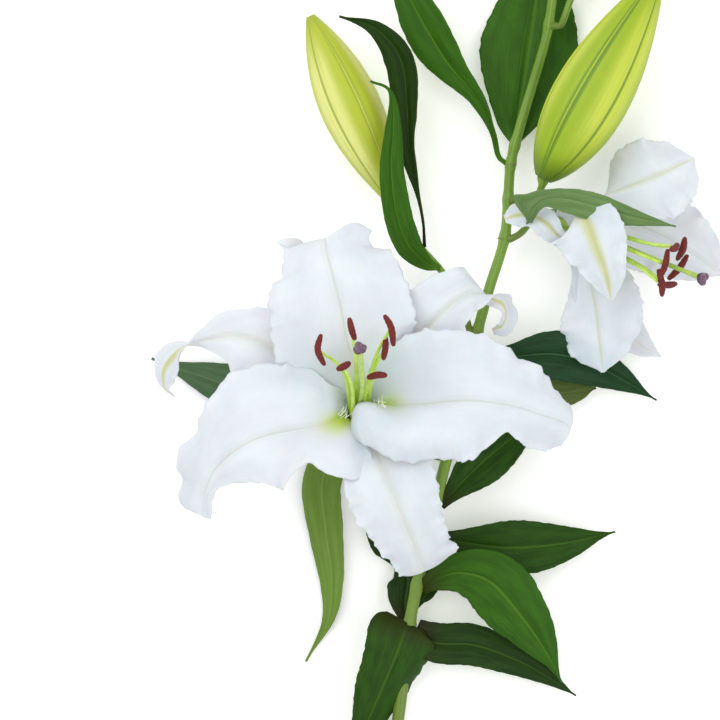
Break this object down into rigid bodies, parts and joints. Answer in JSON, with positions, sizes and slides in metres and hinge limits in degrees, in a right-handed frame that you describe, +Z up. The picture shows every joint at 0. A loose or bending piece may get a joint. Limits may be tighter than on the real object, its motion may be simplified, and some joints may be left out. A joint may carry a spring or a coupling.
{
  "type": "cut lily",
  "caption": "Cut white lily stem lying flat: open and half-turned flowers, closed buds, long pointed leaves.",
  "frame": {"origin": "centre of the bounding box's bottom, on the surface the lily lies on", "axes": "+Y along the stem from its cut end to the end bud, +Z up from the surface, the open flower faces +Z"},
  "size_m": [0.2922, 0.5322, 0.1243],
  "materials": {
    "stem": "smooth, slightly ribbed, satin",
    "petal": "soft matt white with fine lengthwise veins and a green throat",
    "leaf": "satin dark green with parallel veins",
    "leaf_underside": "matt paler green",
    "pale_bud": "matt, cream panels between green ribs",
    "green_bud": "satin green",
    "filament": "smooth",
    "anther": "powdery, pollen",
    "pistil": "smooth, sticky lobes at the end"
  },
  "bodies": {
    "root": {"anther_1": "anther", "anther_2": "anther", "anther_3": "anther", "anther_4": "anther", "anther_5": "anther", "anther_6": "anther", "bottom_sepal": "petal", "bract_beside_left_bud": "leaf", "bract_left_bud": "leaf", "bract_side_flower": "leaf", "end_bud": "green_bud", "filament_1": "filament", "filament_2": "filament", "filament_3": "filament", "filament_4": "filament", "filament_5": "filament", "filament_6": "filament", "leaf_arching_right": "leaf", "leaf_behind_middle": "leaf_underside", "leaf_behind_right": "leaf", "leaf_behind_top": "leaf", "leaf_far_left": "leaf", "leaf_hanging_left": "leaf_underside", "leaf_low_left": "leaf", "leaf_low_right": "leaf", "leaf_lowest": "leaf", "leaf_mid_right": "leaf", "leaf_right": "leaf", "leaf_upper_left": "leaf", "left_bud": "pale_bud", "left_bud_stalk": "stem", "left_petal": "petal", "open_flower_stalk": "stem", "pistil": "pistil", "right_bud": "green_bud", "right_bud_stalk": "stem", "right_petal": "petal", "side_far_petal": "petal", "side_flower_stalk": "stem", "side_hanging_petal": "petal", "side_left_sepal": "petal", "side_low_sepal": "petal", "side_near_sepal": "petal", "side_pistil": "pistil", "side_stamen_1": "anther", "side_stamen_2": "anther", "side_stamen_3": "anther", "side_stamen_4": "anther", "side_stamen_5": "anther", "side_stamen_6": "anther", "side_upper_petal": "petal", "stem": "stem", "top_bud": "green_bud", "top_bud_stalk": "stem", "top_petal": "petal", "upper_left_sepal": "petal", "upper_right_sepal": "petal"}
  },
  "joints": []
}
